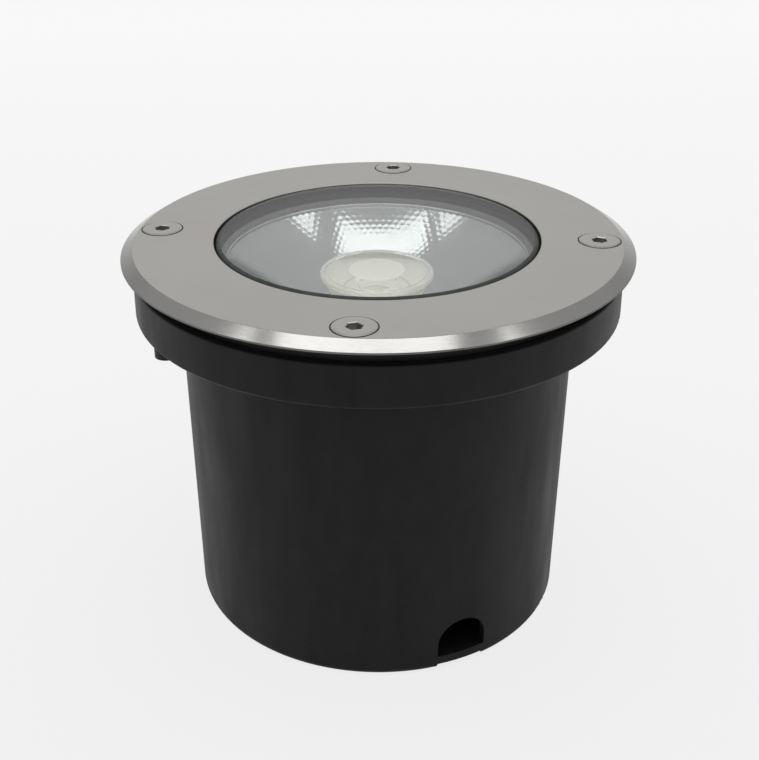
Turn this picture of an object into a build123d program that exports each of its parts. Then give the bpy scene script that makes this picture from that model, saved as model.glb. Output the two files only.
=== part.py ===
from build123d import *
import math
import os

# In ground well light, in millimetres. +Z is up, and the origin is the centre of the
# mounting sleeve's foot. A round lamp hangs by its flange in a sleeve that is set into
# the ground. Its cover, a steel trim ring over stepped glass, is held by four screws.

# ---- Driving dimensions -------------------------------------------------------------

overall_height = 117.6

# Trim ring
ring_radius = 75.0
ring_thickness = 3.0
ring_bevel_width = 3.6
ring_bevel_drop = 1.8
ring_face_width = 27.0
edge_break = 0.3

# Cover glass and its gasket
window_gap = 0.5
glass_thickness = 8.0
glass_drop = 0.2
glass_overlap = 5.0
glass_corner = 0.5
gasket_lip = 1.0
gasket_seat = 1.5
gasket_wall = 1.1
gasket_reach = 2.5
gasket_slack = 0.1

# Trim screws
screw_count = 4
screw_inset = 10.3
screw_start_angle = -4.9
screw_head_radius = 6.0
screw_head_land = 0.35
screw_head_drop = 0.1
screw_head_gap = 0.4
screw_length = 16.0
screw_tip = 0.6
thread_radius = 3.0
thread_clearance = 0.05
hex_key = 4.0
hex_depth = 2.4

# Mounting sleeve
collar_inset = 2.9
sleeve_draft = 1.05
sleeve_wall = 2.5
collar_draft = 0.2
collar_wall = 2.3
collar_height = 12.4
collar_floor = 2.8
collar_gap = 4.4
collar_round = 1.0
collar_lip_round = 0.6
collar_inner_round = 0.3
shelf_round = 0.8
floor_thickness = 2.8
floor_play = 0.1
foot_height = 2.0
foot_width = 4.0
foot_round = 2.4
foot_relief_overrun = 6.0
guide_rib_count = 8
guide_rib_thickness = 1.6
guide_rib_height = 0.6
guide_rib_drop = 2.8
floor_rib_height = 1.4
drain_rim = 2.0
drain_radius = 15.0
small_drain_radius = 4.0
small_drain_count = 4
small_drain_angle = 22.5
notch_angle = 296.0
notch_width = 15.6
notch_height = 12.0
lug_angle = 208.0
lug_inset = 5.1
lug_radius = 3.5
lug_drop = 4.7
lug_pilot_radius = 1.25

# Lamp body
body_clearance = 0.4
seat_clearance = 0.3
seat_ledge = 4.7
seat_wall = 4.1
seat_round = 0.4
flange_skirt = 2.5
flange_deck = 5.6
flange_round = 0.5
groove_round = 1.0
flange_rib_count = 12
flange_rib_thickness = 2.0
flange_rib_rise = 1.4
cup_draft = 1.5
cup_wall = 2.7
cup_lower_wall = 6.2
cup_floor = 3.0
cup_depth = 75.6
cup_round = 4.0
cup_neck_round = 1.5
cup_inside_round = 3.0
fin_count = 24
fin_thickness = 1.8
fin_height = 2.3
fin_clearance = 0.6
fin_rise = 8.0
fin_slope = 6.0
screw_boss_radius = 6.5
plate_depth = 41.6
post_inset = 7.3
post_radius = 4.5
post_count = 3
post_angle = 90.0
post_hole_depth = 12.0
plate_screw_reach = 9.0
embed = 1.0

# Earth screw and supply terminal, on the cup's floor
earth_inset = 13.3
earth_angle = 150.0
earth_boss_radius = 4.5
earth_boss_height = 6.0
earth_hole_depth = 5.0
earth_screw_reach = 4.5
terminal_inset = 16.3
terminal_length = 12.0
terminal_width = 22.0
terminal_height = 9.0
terminal_round = 1.0
terminal_pitch = 7.0
terminal_screw_radius = 1.8
terminal_screw_depth = 5.0
terminal_wire_radius = 1.6
terminal_wire_level = 3.5

# Heat sink plate and light engine
plate_thickness = 4.0
plate_clearance = 0.2
plate_chamfer = 0.4
chip_side = 22.0
chip_thickness = 1.2
pad_thickness = 0.5
phosphor_radius = 7.5
phosphor_height = 0.5
holder_rim = 1.4
holder_height = 4.5
holder_window_play = 0.8
holder_pocket_play = 0.15
holder_screw_inset = 3.0
holder_screw_reach = 3.5
holder_window_chamfer = 1.2
holder_round = 0.6
holder_cover_gap = 0.05
lead_socket_depth = 1.5
head_sink = 0.2

# Reflector, bezel ring and lens
reflector_depth = 11.9
reflector_mouth_inset = 3.7
reflector_mouth_depth = 0.8
reflector_floor_width = 1.9
reflector_hole_play = 0.7
reflector_wall = 1.2
reflector_lip = 1.0
back_steps = 6
lip_clearance = 0.3
facet_columns = 60
facet_rows = 9
facet_spacing = 0.85
bezel_wall = 2.2
bezel_taper = 0.4
bezel_gap = 0.2
bezel_round = 0.3
lens_radius = 17.0
lens_depth = 17.1
lens_rim = 1.4
lens_crown = 0.6
lens_waist = 15.8
lens_flare_bulge = 0.9
lens_foot_land = 1.6
lens_foot_height = 1.5
lens_cavity = 6.2
lens_cavity_height = 6.5
lens_cavity_crown = 1.6

# Driver, wiring and cable gland
driver_length = 56.0
driver_width = 40.0
driver_height = 18.5
driver_wall = 1.6
driver_lid = 1.5
driver_round = 3.0
driver_ear = 7.0
driver_ear_width = 10.0
driver_post_radius = 2.0
driver_post_inset = 4.0
driver_screw_short = 0.5
driver_board_lift = 2.4
driver_board_play = 1.4
core_size = 17.0
core_width = 15.0
core_layer = 3.0
core_height = 11.0
core_leg = 4.0
winding_radius = 5.5
capacitor_x = -17.0
large_capacitor = (5.0, 11.0, 7.0)
small_capacitor = (3.0, 9.0, -8.0)
film_capacitor = (6.0, 12.0, 9.0, 15.0, 9.0)
lead_radius = 0.8
lead_spacing = 3.2
lead_inset = 4.5
lead_bend = 2.5
lead_level = 2.2
lead_hole = 4.0
cable_radius = 3.75
gland_bore = 4.6
gland_thread = 7.9
gland_hex = 22.0
gland_hex_height = 6.0
gland_washer = 1.5
gland_inner_thread = 9.0
gland_stub = 6.5
gland_stub_radius = 8.3
gland_stub_bore = 6.6
gland_seal_proud = 0.5
gland_nut_lip = 1.5
gland_nut_gap = 0.3
gland_nut_round = 1.5
gland_nut_crown = 5.0
gland_nut_play = 0.6
locknut_height = 4.0
thread_play = 0.1

# Small screws: thread radius, head radius, head height
m4 = (2.0, 3.8, 2.4)
m3 = (1.5, 2.75, 1.8)

# ---- Heights and radii that follow from them -----------------------------------------

window_radius = ring_radius - ring_face_width
screw_circle_radius = ring_radius - screw_inset
ring_under = overall_height - ring_thickness
collar_top = ring_under - collar_gap
collar_bottom = collar_top - collar_height
shelf_level = collar_bottom + collar_floor
sleeve_floor = foot_height + floor_thickness
notch_top = sleeve_floor + notch_height
guide_rib_top = collar_bottom - guide_rib_drop
glass_top = overall_height - glass_drop
glass_bottom = glass_top - glass_thickness
glass_step = ring_under - gasket_lip
glass_raised_radius = window_radius - window_gap
glass_radius = glass_raised_radius + glass_overlap
gasket_radius = glass_radius + gasket_slack + gasket_wall
seat_level = glass_bottom - gasket_seat
seat_radius = gasket_radius + seat_clearance
cup_inside_top = seat_radius - seat_ledge
cup_radius = cup_inside_top + cup_wall
cup_foot_radius = cup_radius - cup_draft
cup_inside_low = cup_foot_radius - cup_lower_wall
fin_radius = cup_radius + fin_height
guide_rib_tip = fin_radius + fin_clearance
sleeve_inner_foot = guide_rib_tip + guide_rib_height
sleeve_foot_radius = sleeve_inner_foot + sleeve_wall
sleeve_top_radius = sleeve_foot_radius + sleeve_draft
sleeve_inner_top = sleeve_top_radius - sleeve_wall
foot_inner = sleeve_foot_radius - foot_width
small_drain_circle = (drain_radius + foot_inner) / 2
collar_radius = ring_radius - collar_inset
collar_inner = collar_radius - collar_wall
lug_circle = collar_radius - lug_inset
flange_radius = collar_inner - body_clearance
groove_outer = flange_radius - flange_skirt
groove_inner = seat_radius + seat_wall
groove_top = ring_under - flange_deck
cup_bottom = overall_height - cup_depth
cup_deck = cup_bottom + cup_floor
fin_low = cup_bottom + fin_rise
post_circle = cup_inside_top - post_inset
plate_level = overall_height - plate_depth
plate_top = plate_level + plate_thickness
holder_radius = chip_side / math.sqrt(2) + holder_rim
holder_window = phosphor_radius + holder_window_play
holder_screw_offset = chip_side / 2 + holder_screw_inset
holder_top = plate_top + holder_height
lip_level = overall_height - reflector_depth
lens_level = overall_height - lens_depth
lens_foot = holder_window + lens_foot_land
reflector_hole = lens_foot + reflector_hole_play
reflector_throat = reflector_hole + reflector_floor_width
reflector_mouth = window_radius - reflector_mouth_inset
lead_x = driver_length / 2 - lead_inset
gland_level = cup_bottom - gland_washer
stub_top = gland_level - gland_hex_height
seal_low = stub_top - gland_stub - gland_seal_proud
screw_angles = [screw_start_angle + 360 / screw_count * i for i in range(screw_count)]

BASE = (Align.CENTER, Align.CENTER, Align.MIN)


# ---- Shapes that several pieces share ------------------------------------------------


def revolved(outline):
    """Turn an outline of (radius, height, corner rounding) about the lamp's axis."""
    face = make_face(Polyline(*[(r, z) for r, z, _ in outline], close=True))
    for r, z, rounding in outline:
        if rounding:
            corner = face.vertices().sort_by_distance((r, z, 0))[0]
            face = fillet(corner, rounding)
    return revolve(Plane.XZ * face, Axis.Z)


def cylinder(radius, low, high, x=0, y=0):
    return Pos(x, y, low) * Cylinder(radius, high - low, align=BASE)


def tube(outer, inner, low, high):
    return cylinder(outer, low, high) - cylinder(inner, low, high)


def block(length, width, low, high, x=0, y=0):
    return Pos(x, y, low) * Box(length, width, high - low, align=BASE)


def around(shape, count, start=0.0):
    return [Rot(0, 0, start + 360 / count * i) * shape for i in range(count)]


def on_circle(radius, angle):
    turn = math.radians(angle)
    return radius * math.cos(turn), radius * math.sin(turn)


def pan_screw(size, low, high, x, y, head_up=True):
    """A screw with a round head. Its shank runs from low to high, its head beyond."""
    thread, head, head_height = size
    shank = cylinder(thread - thread_clearance, low, high, x, y)
    if head_up:
        return shank + cylinder(head, high, high + head_height, x, y)
    return shank + cylinder(head, low - head_height, low, x, y)


# ---- Mounting sleeve -----------------------------------------------------------------


def mounting_sleeve():
    body = revolved(
        [
            (foot_inner, foot_height, 0),
            (foot_inner, 0, 0),
            (sleeve_foot_radius, 0, foot_round),
            (sleeve_top_radius, collar_bottom, 0),
            (collar_radius, collar_bottom, collar_round),
            (collar_radius - collar_draft, collar_top, collar_lip_round),
            (collar_inner, collar_top, collar_inner_round),
            (collar_inner, shelf_level, 0),
            (sleeve_inner_top, shelf_level, shelf_round),
            (sleeve_inner_foot, sleeve_floor, 0),
            (sleeve_inner_foot, foot_height, 0),
        ]
    )
    rib_root = sleeve_inner_top + sleeve_wall / 4
    guide_rib = block(
        rib_root - guide_rib_tip,
        guide_rib_thickness,
        sleeve_floor,
        guide_rib_top,
        (rib_root + guide_rib_tip) / 2,
    )
    guide_rib &= cylinder(sleeve_inner_foot + sleeve_wall / 2, 0, guide_rib_top)
    body += around(guide_rib, guide_rib_count)

    lug_x, lug_y = on_circle(lug_circle, lug_angle)
    lug_low = collar_bottom - lug_drop
    body += cylinder(lug_radius, lug_low, collar_bottom + collar_floor / 2, lug_x, lug_y)
    body -= cylinder(lug_pilot_radius, lug_low, collar_bottom, lug_x, lug_y)
    return body - cable_notch()


def sleeve_floor_plate():
    """The floor on the foot's ledge, with a drain in its middle and ribs below it."""
    rib_low = foot_height - floor_rib_height
    plate = cylinder(sleeve_inner_foot - floor_play, foot_height, sleeve_floor)
    rib_start = drain_radius + drain_rim / 2
    rib_end = foot_inner - floor_play
    rib = block(
        rib_end - rib_start,
        guide_rib_thickness,
        rib_low,
        foot_height + floor_thickness / 2,
        (rib_start + rib_end) / 2,
    )
    plate += around(rib, guide_rib_count)
    plate += cylinder(drain_radius + drain_rim, rib_low, sleeve_floor)
    plate -= cylinder(drain_radius, 0, sleeve_floor)
    small_drain = cylinder(small_drain_radius, 0, sleeve_floor, small_drain_circle)
    return plate - around(small_drain, small_drain_count, small_drain_angle)


def cable_notch():
    """The arch over the sleeve's floor, and the gap that it leaves in the foot below."""
    half = notch_width / 2
    spring = notch_top - half
    arch = make_face(
        [
            Line((-half, sleeve_floor), (half, sleeve_floor)),
            Line((half, sleeve_floor), (half, spring)),
            ThreePointArc((half, spring), (0, notch_top), (-half, spring)),
            Line((-half, spring), (-half, sleeve_floor)),
        ]
    )
    cut_start = sleeve_foot_radius - foot_relief_overrun
    arch_cut = extrude(Plane.YZ * arch, sleeve_top_radius + embed)
    arch_cut -= cylinder(cut_start, 0, notch_top)
    foot_cut = block(
        2 * foot_relief_overrun, notch_width, -embed, foot_height, sleeve_foot_radius
    )
    return Rot(0, 0, notch_angle) * (arch_cut + foot_cut)


# ---- Lamp body -----------------------------------------------------------------------


def lamp_body():
    body = revolved(
        [
            (flange_radius, ring_under, flange_round),
            (flange_radius, shelf_level, flange_round),
            (groove_outer, shelf_level, 0),
            (groove_outer, groove_top, groove_round),
            (groove_inner, groove_top, groove_round),
            (groove_inner, shelf_level, 0),
            (cup_radius, shelf_level, cup_neck_round),
            (cup_foot_radius, cup_bottom, cup_round),
            (0, cup_bottom, 0),
            (0, cup_deck, 0),
            (cup_inside_low, cup_deck, cup_inside_round),
            (cup_inside_low, plate_level, 0),
            (cup_inside_top - plate_clearance, plate_level, 0),
            (cup_inside_top, seat_level, 0),
            (seat_radius, seat_level, 0),
            (seat_radius, ring_under, seat_round),
        ]
    )
    fin_root = cup_foot_radius - cup_wall / 2
    fin_outline = make_face(
        Polyline(
            (fin_root, fin_low),
            (cup_foot_radius + embed, fin_low),
            (fin_radius, fin_low + fin_slope),
            (fin_radius, shelf_level + embed),
            (fin_root, shelf_level + embed),
            close=True,
        )
    )
    fin = extrude(Plane.XZ * fin_outline, fin_thickness / 2, both=True)
    body += around(fin, fin_count, 360 / fin_count / 2)

    flange_rib = block(
        groove_outer - groove_inner + 2 * embed,
        flange_rib_thickness,
        shelf_level + flange_rib_rise,
        groove_top + embed,
        (groove_outer + groove_inner) / 2,
    )
    body += around(flange_rib, flange_rib_count, screw_start_angle + 180 / flange_rib_count)
    boss = cylinder(screw_boss_radius, shelf_level, groove_top + embed, screw_circle_radius)
    boss &= cylinder(groove_outer + embed, shelf_level, ring_under)
    body += around(boss, screw_count, screw_start_angle)

    hole_low = plate_level - post_hole_depth
    for x, y in post_places():
        body += cylinder(post_radius, cup_bottom + embed, plate_level, x, y)
        body -= cylinder(m4[0], hole_low, plate_level, x, y)
    body += earth_boss()

    body -= around(
        cylinder(thread_radius, shelf_level, ring_under, screw_circle_radius),
        screw_count,
        screw_start_angle,
    )
    mouth_depth = screw_taper_radius(ring_thickness) + screw_head_gap - thread_radius
    mouth = Pos(screw_circle_radius, 0, ring_under - mouth_depth) * Cone(
        thread_radius, thread_radius + mouth_depth, mouth_depth, align=BASE
    )
    body -= around(mouth, screw_count, screw_start_angle)
    body -= cylinder(gland_thread + thread_play, cup_bottom, cup_deck)
    return body


def post_places():
    return [
        on_circle(post_circle, post_angle + 360 / post_count * i) for i in range(post_count)
    ]


def earth_boss():
    x, y = on_circle(cup_inside_low - earth_inset, earth_angle)
    top = cup_deck + earth_boss_height
    boss = cylinder(earth_boss_radius, cup_bottom + embed, top, x, y)
    return boss - cylinder(m4[0], top - earth_hole_depth, top, x, y)


def earth_screw():
    x, y = on_circle(cup_inside_low - earth_inset, earth_angle)
    top = cup_deck + earth_boss_height
    return pan_screw(m4, top - earth_screw_reach, top, x, y)


# ---- Light engine --------------------------------------------------------------------


def heat_sink_plate():
    radius = cup_inside_top - 2 * plate_clearance
    plate = cylinder(radius, plate_level, plate_top)
    plate = chamfer(plate.edges().filter_by(GeomType.CIRCLE), plate_chamfer)
    for x, y in post_places():
        plate -= cylinder(m4[0] + thread_play, plate_level, plate_top, x, y)
    for side in (-1, 1):
        plate -= cylinder(m3[0], plate_level, plate_top, 0, side * holder_screw_offset)
        plate -= cylinder(m3[0], plate_level, plate_top, side * driver_screw_x)
    return plate - cylinder(lead_hole, plate_level, plate_top, lead_x)


def plate_screws():
    low = plate_level - plate_screw_reach
    return Compound([pan_screw(m4, low, plate_top, x, y) for x, y in post_places()])


def cob_holder():
    pocket_top = plate_top + pad_thickness + chip_thickness + holder_cover_gap
    body = revolved(
        [
            (holder_window, plate_top, 0),
            (holder_window, holder_top - holder_window_chamfer, 0),
            (holder_window + holder_window_chamfer, holder_top, 0),
            (holder_radius, holder_top, holder_round),
            (holder_radius, plate_top, 0),
        ]
    )
    pocket_side = chip_side + 2 * holder_pocket_play
    body -= block(pocket_side, pocket_side, plate_top, pocket_top)
    thread, head, head_height = m3
    for side in (-1, 1):
        y = side * holder_screw_offset
        body -= cylinder(thread + thread_play, plate_top, holder_top, 0, y)
        head_seat = holder_top - head_height - head_sink
        body -= cylinder(head + thread_play, head_seat, holder_top, 0, y)
        lead_y = side * lead_spacing / 2
        socket = Cylinder(
            lead_radius + thread_play, 2 * lead_socket_depth, rotation=(0, 90, 0)
        )
        body -= Pos(holder_radius, lead_y, plate_top + lead_level) * socket
    return body


def holder_screws():
    high = holder_top - m3[2] - head_sink
    low = plate_top - holder_screw_reach
    return Compound(
        [pan_screw(m3, low, high, 0, side * holder_screw_offset) for side in (-1, 1)]
    )


# ---- Reflector, bezel ring and lens --------------------------------------------------


def bowl_height(radius):
    """Height of the reflector's bowl at a radius: a paraboloid from throat to mouth."""
    floor_level = holder_top + reflector_lip
    rise = lip_level - reflector_mouth_depth - floor_level
    share = (radius**2 - reflector_throat**2) / (reflector_mouth**2 - reflector_throat**2)
    return floor_level + rise * share


def facet_ring(radius, height, half_step):
    step = 360 / facet_columns
    return [
        (*on_circle(radius, step * (i + half_step)), height) for i in range(facet_columns)
    ]


def faceted_bowl():
    """The space inside the reflector: rings of facets, each half a facet round."""
    rings = []
    for row in range(facet_rows + 1):
        share = (row / facet_rows) ** facet_spacing
        radius = reflector_throat + (reflector_mouth - reflector_throat) * share
        rings.append(facet_ring(radius, bowl_height(radius), row % 2 / 2))
    above = facet_ring(reflector_mouth, lip_level + embed, facet_rows % 2 / 2)

    faces = [flat(rings[0]), flat(above)]
    for row in range(facet_rows):
        low, high = rings[row], rings[row + 1]
        shift = row % 2
        for i in range(facet_columns):
            after = (i + 1) % facet_columns
            faces.append(flat([low[i], low[after], high[(i + shift) % facet_columns]]))
            faces.append(flat([high[i], high[after], low[(i + 1 - shift) % facet_columns]]))
    top = rings[-1]
    for i in range(facet_columns):
        after = (i + 1) % facet_columns
        faces.append(flat([top[i], top[after], above[after], above[i]]))
    return Solid(Shell(faces))


def flat(points):
    return Face(Wire.make_polygon(points))


def reflector():
    lip_radius = cup_inside_top - lip_clearance
    back = [(reflector_throat + reflector_wall, holder_top)]
    for i in range(1, back_steps + 1):
        radius = reflector_throat + (reflector_mouth - reflector_throat) * i / back_steps
        back.append((radius + reflector_wall, bowl_height(radius) - reflector_wall))
    outline = make_face(
        [
            Polyline((0, lip_level), (0, holder_top), back[0]),
            Spline(*back),
            Polyline(
                back[-1],
                (back[-1][0], lip_level - reflector_lip),
                (lip_radius, lip_level - reflector_lip),
                (lip_radius, lip_level),
                (0, lip_level),
            ),
        ]
    )
    body = revolve(Plane.XZ * outline, Axis.Z)
    body -= cylinder(reflector_hole, holder_top, lip_level)
    return body - faceted_bowl()


def bezel_ring():
    outer = cup_inside_top - lip_clearance
    inner = outer - bezel_wall
    return revolved(
        [
            (inner - bezel_taper, lip_level, 0),
            (outer, lip_level, 0),
            (outer, glass_bottom - bezel_gap, 0),
            (inner, glass_bottom - bezel_gap, bezel_round),
        ]
    )


def dome(radius, low, high):
    """An arc from (radius, low) up to the axis at high, with its centre on the axis."""
    rise = high - low
    sphere = (radius**2 + rise**2) / (2 * rise)
    half = radius / 2
    middle = (half, high - sphere + math.sqrt(sphere**2 - half**2))
    return ThreePointArc((radius, low), middle, (0, high))


def lens():
    """A clear collimating lens: a flared body on a short foot, hollow over the chip."""
    foot_top = holder_top + lens_foot_height
    rim_low = lens_level - lens_rim
    cavity_top = holder_top + lens_cavity_height
    flare_middle = (
        (lens_foot + lens_waist) / 2 + lens_flare_bulge,
        (foot_top + rim_low) / 2 - lens_flare_bulge,
    )
    outline = make_face(
        [
            Polyline((lens_cavity, holder_top), (lens_foot, holder_top), (lens_foot, foot_top)),
            ThreePointArc((lens_foot, foot_top), flare_middle, (lens_waist, rim_low)),
            Polyline(
                (lens_waist, rim_low), (lens_radius, rim_low), (lens_radius, lens_level)
            ),
            dome(lens_radius, lens_level, lens_level + lens_crown),
            Line((0, lens_level + lens_crown), (0, cavity_top + lens_cavity_crown)),
            dome(lens_cavity, cavity_top, cavity_top + lens_cavity_crown),
            Line((lens_cavity, cavity_top), (lens_cavity, holder_top)),
        ]
    )
    return revolve(Plane.XZ * outline, Axis.Z)


# ---- Driver and wiring ---------------------------------------------------------------

driver_top = plate_level - driver_lid
driver_bottom = driver_top - driver_height
board_bottom = driver_bottom + driver_wall + driver_board_lift
board_top = board_bottom + driver_wall


driver_screw_x = driver_length / 2 + driver_ear / 2


def driver_case():
    shell = block(driver_length, driver_width, driver_bottom, driver_top)
    shell = fillet(shell.edges().filter_by(Axis.Z), driver_round)
    inner_length = driver_length - 2 * driver_wall
    inner_width = driver_width - 2 * driver_wall
    shell -= block(inner_length, inner_width, driver_bottom + driver_wall, driver_top)
    post_low = driver_bottom + driver_wall / 2
    for side in (-1, 1):
        for end in (-1, 1):
            x = end * (inner_length / 2 - driver_post_inset)
            y = side * (inner_width / 2 - driver_post_inset)
            shell += cylinder(driver_post_radius, post_low, board_bottom, x, y)
    return shell


def driver_lid_plate():
    plate = block(driver_length, driver_width, driver_top, plate_level)
    ears_length = driver_length + 2 * driver_ear
    plate += block(ears_length, driver_ear_width, driver_top, plate_level)
    for side in (-1, 1):
        screw_x = side * driver_screw_x
        plate -= cylinder(m3[0] + thread_play, driver_top, plate_level, screw_x)
        lead_y = side * lead_spacing / 2
        plate -= cylinder(lead_radius + thread_play, driver_top, plate_level, lead_x, lead_y)
    return plate


def driver_screws():
    high = plate_top - driver_screw_short
    return Compound(
        [pan_screw(m3, driver_top, high, side * driver_screw_x, 0, False) for side in (-1, 1)]
    )


def driver_board():
    play = 2 * (driver_wall + driver_board_play)
    return block(driver_length - play, driver_width - play, board_bottom, board_top)


def driver_transformer():
    core_top = board_top + core_height
    core = block(core_size, core_width, board_top, board_top + core_layer)
    core += block(core_size, core_width, core_top - core_layer, core_top)
    leg_y = (core_width - core_leg) / 2
    core += block(core_size, core_leg, board_top, core_top, 0, leg_y)
    return core + cylinder(winding_radius, board_top + embed, core_top - embed)


def driver_capacitors():
    cans = []
    for radius, height, y in (large_capacitor, small_capacitor):
        cans.append(cylinder(radius, board_top, board_top + height, capacitor_x, y))
    length, width, height, x, y = film_capacitor
    return Compound([*cans, block(length, width, board_top, board_top + height, x, y)])


def led_lead(side):
    y = side * lead_spacing / 2
    level = plate_top + lead_level
    end = holder_radius - lead_socket_depth
    path = FilletPolyline(
        (lead_x, y, board_top), (lead_x, y, level), (end, y, level), radius=lead_bend
    )
    return sweep(Plane((lead_x, y, board_top)) * Circle(lead_radius), path)


def terminal_block():
    x = cup_inside_low - terminal_inset
    high = cup_deck + terminal_height
    body = block(terminal_length, terminal_width, cup_deck, high, x)
    body = fillet(body.edges().filter_by(Axis.Z), terminal_round)
    wire_hole = Cylinder(terminal_wire_radius, terminal_length, rotation=(0, 90, 0))
    for place in (-1, 0, 1):
        y = terminal_pitch * place
        body -= cylinder(terminal_screw_radius, high - terminal_screw_depth, high, x, y)
        body -= Pos(x, y, cup_deck + terminal_wire_level) * wire_hole
    return body


# ---- Cable gland ---------------------------------------------------------------------


def hexagon(flats, low, high):
    outline = RegularPolygon(flats / 2, 6, major_radius=False)
    return Pos(0, 0, low) * extrude(outline, high - low)


def gland_body():
    stub_low = stub_top - gland_stub
    body = hexagon(gland_hex, stub_top, gland_level)
    body += cylinder(gland_thread, gland_level, cup_deck + gland_inner_thread)
    body += cylinder(gland_stub_radius, stub_low, stub_top)
    body -= cylinder(gland_bore, stub_low, overall_height)
    return body - cylinder(gland_stub_bore, stub_low, stub_top)


def gland_nut():
    low = seal_low - gland_nut_lip
    high = stub_top - gland_nut_gap
    nut = hexagon(gland_hex, low, high)
    nut &= revolved(
        [
            (0, low, 0),
            (gland_stub_radius, low, gland_nut_round),
            (gland_hex, high - gland_nut_crown, 0),
            (gland_hex, high, 0),
            (0, high, 0),
        ]
    )
    nut -= cylinder(gland_stub_radius + thread_play, low + gland_nut_lip, high)
    return nut - cylinder(cable_radius + gland_nut_play, low, high)


def gland_seal():
    return tube(gland_stub_bore - thread_play, cable_radius, seal_low, stub_top)


def gland_washer_ring():
    return tube(gland_hex / 2, gland_thread + thread_play, gland_level, cup_bottom)


def gland_locknut():
    high = cup_deck + locknut_height
    nut = hexagon(gland_hex, cup_deck, high)
    return nut - cylinder(gland_thread + thread_play, cup_deck, high)


# ---- Cover ---------------------------------------------------------------------------


def screw_taper_radius(depth):
    """Radius of a trim screw's head at a depth below the ring's top face."""
    return screw_head_radius - (depth - screw_head_drop - screw_head_land)


def trim_ring():
    ring = revolved(
        [
            (window_radius, ring_under, 0),
            (window_radius, overall_height, edge_break),
            (ring_radius - ring_bevel_width, overall_height, 0),
            (ring_radius, overall_height - ring_bevel_drop, 0),
            (ring_radius, ring_under, edge_break),
        ]
    )
    land_depth = screw_head_drop + screw_head_land
    land_radius = screw_head_radius + screw_head_gap
    taper_depth = ring_thickness - land_depth
    hole = cylinder(land_radius, overall_height - land_depth, overall_height)
    hole += Pos(0, 0, ring_under) * Cone(
        land_radius - taper_depth, land_radius, taper_depth, align=BASE
    )
    return ring - around(Pos(screw_circle_radius, 0, 0) * hole, screw_count, screw_start_angle)


def cover_glass():
    return revolved(
        [
            (0, glass_bottom, 0),
            (glass_radius, glass_bottom, glass_corner),
            (glass_radius, glass_step, glass_corner),
            (glass_raised_radius, glass_step, 0),
            (glass_raised_radius, glass_top, glass_corner),
            (0, glass_top, 0),
        ]
    )


def glass_gasket():
    wall_inner = glass_radius + gasket_slack
    return revolved(
        [
            (glass_raised_radius + gasket_slack, glass_step, 0),
            (wall_inner, glass_step, 0),
            (wall_inner, glass_bottom, 0),
            (glass_radius - gasket_reach, glass_bottom, 0),
            (glass_radius - gasket_reach, seat_level, 0),
            (gasket_radius, seat_level, 0),
            (gasket_radius, ring_under, 0),
            (glass_raised_radius + gasket_slack, ring_under, 0),
        ]
    )


def trim_screw(angle):
    top = overall_height - screw_head_drop
    shank = thread_radius - thread_clearance
    head_low = top - screw_head_land
    taper = screw_head_radius - shank
    tip = top - screw_length
    screw = revolved(
        [
            (0, tip, 0),
            (shank - screw_tip, tip, 0),
            (shank, tip + screw_tip, 0),
            (shank, head_low - taper, 0),
            (screw_head_radius, head_low, 0),
            (screw_head_radius, top, 0),
            (0, top, 0),
        ]
    )
    screw -= hexagon(hex_key, top - hex_depth, top)
    return Rot(0, 0, angle) * Pos(screw_circle_radius, 0, 0) * screw


# ---- Every piece, in its own file ----------------------------------------------------

chip_bottom = plate_top + pad_thickness
chip_top = chip_bottom + chip_thickness

pieces = {
    "mounting_sleeve": mounting_sleeve(),
    "sleeve_floor": sleeve_floor_plate(),
    "lamp_body": lamp_body(),
    "earth_screw": earth_screw(),
    "heat_sink_plate": heat_sink_plate(),
    "plate_screws": plate_screws(),
    "thermal_pad": block(chip_side, chip_side, plate_top, chip_bottom),
    "cob_board": block(chip_side, chip_side, chip_bottom, chip_top),
    "cob_phosphor": cylinder(phosphor_radius, chip_top, chip_top + phosphor_height),
    "cob_holder": cob_holder(),
    "holder_screws": holder_screws(),
    "lens": lens(),
    "reflector": reflector(),
    "bezel_ring": bezel_ring(),
    "driver_case": driver_case(),
    "driver_lid": driver_lid_plate(),
    "driver_screws": driver_screws(),
    "driver_board": driver_board(),
    "driver_transformer": driver_transformer(),
    "driver_capacitors": driver_capacitors(),
    "led_lead_red": led_lead(1),
    "led_lead_black": led_lead(-1),
    "terminal_block": terminal_block(),
    "gland_body": gland_body(),
    "gland_nut": gland_nut(),
    "gland_seal": gland_seal(),
    "gland_washer": gland_washer_ring(),
    "gland_locknut": gland_locknut(),
    "trim_ring": trim_ring(),
    "cover_glass": cover_glass(),
    "glass_gasket": glass_gasket(),
}
for number, angle in enumerate(screw_angles, 1):
    pieces[f"trim_screw_{number}"] = trim_screw(angle)

os.makedirs("parts", exist_ok=True)
for name, shape in pieces.items():
    export_step(shape, f"parts/{name}.step")
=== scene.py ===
import math

import bmesh
import bpy
from mathutils import Matrix, Vector


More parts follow.
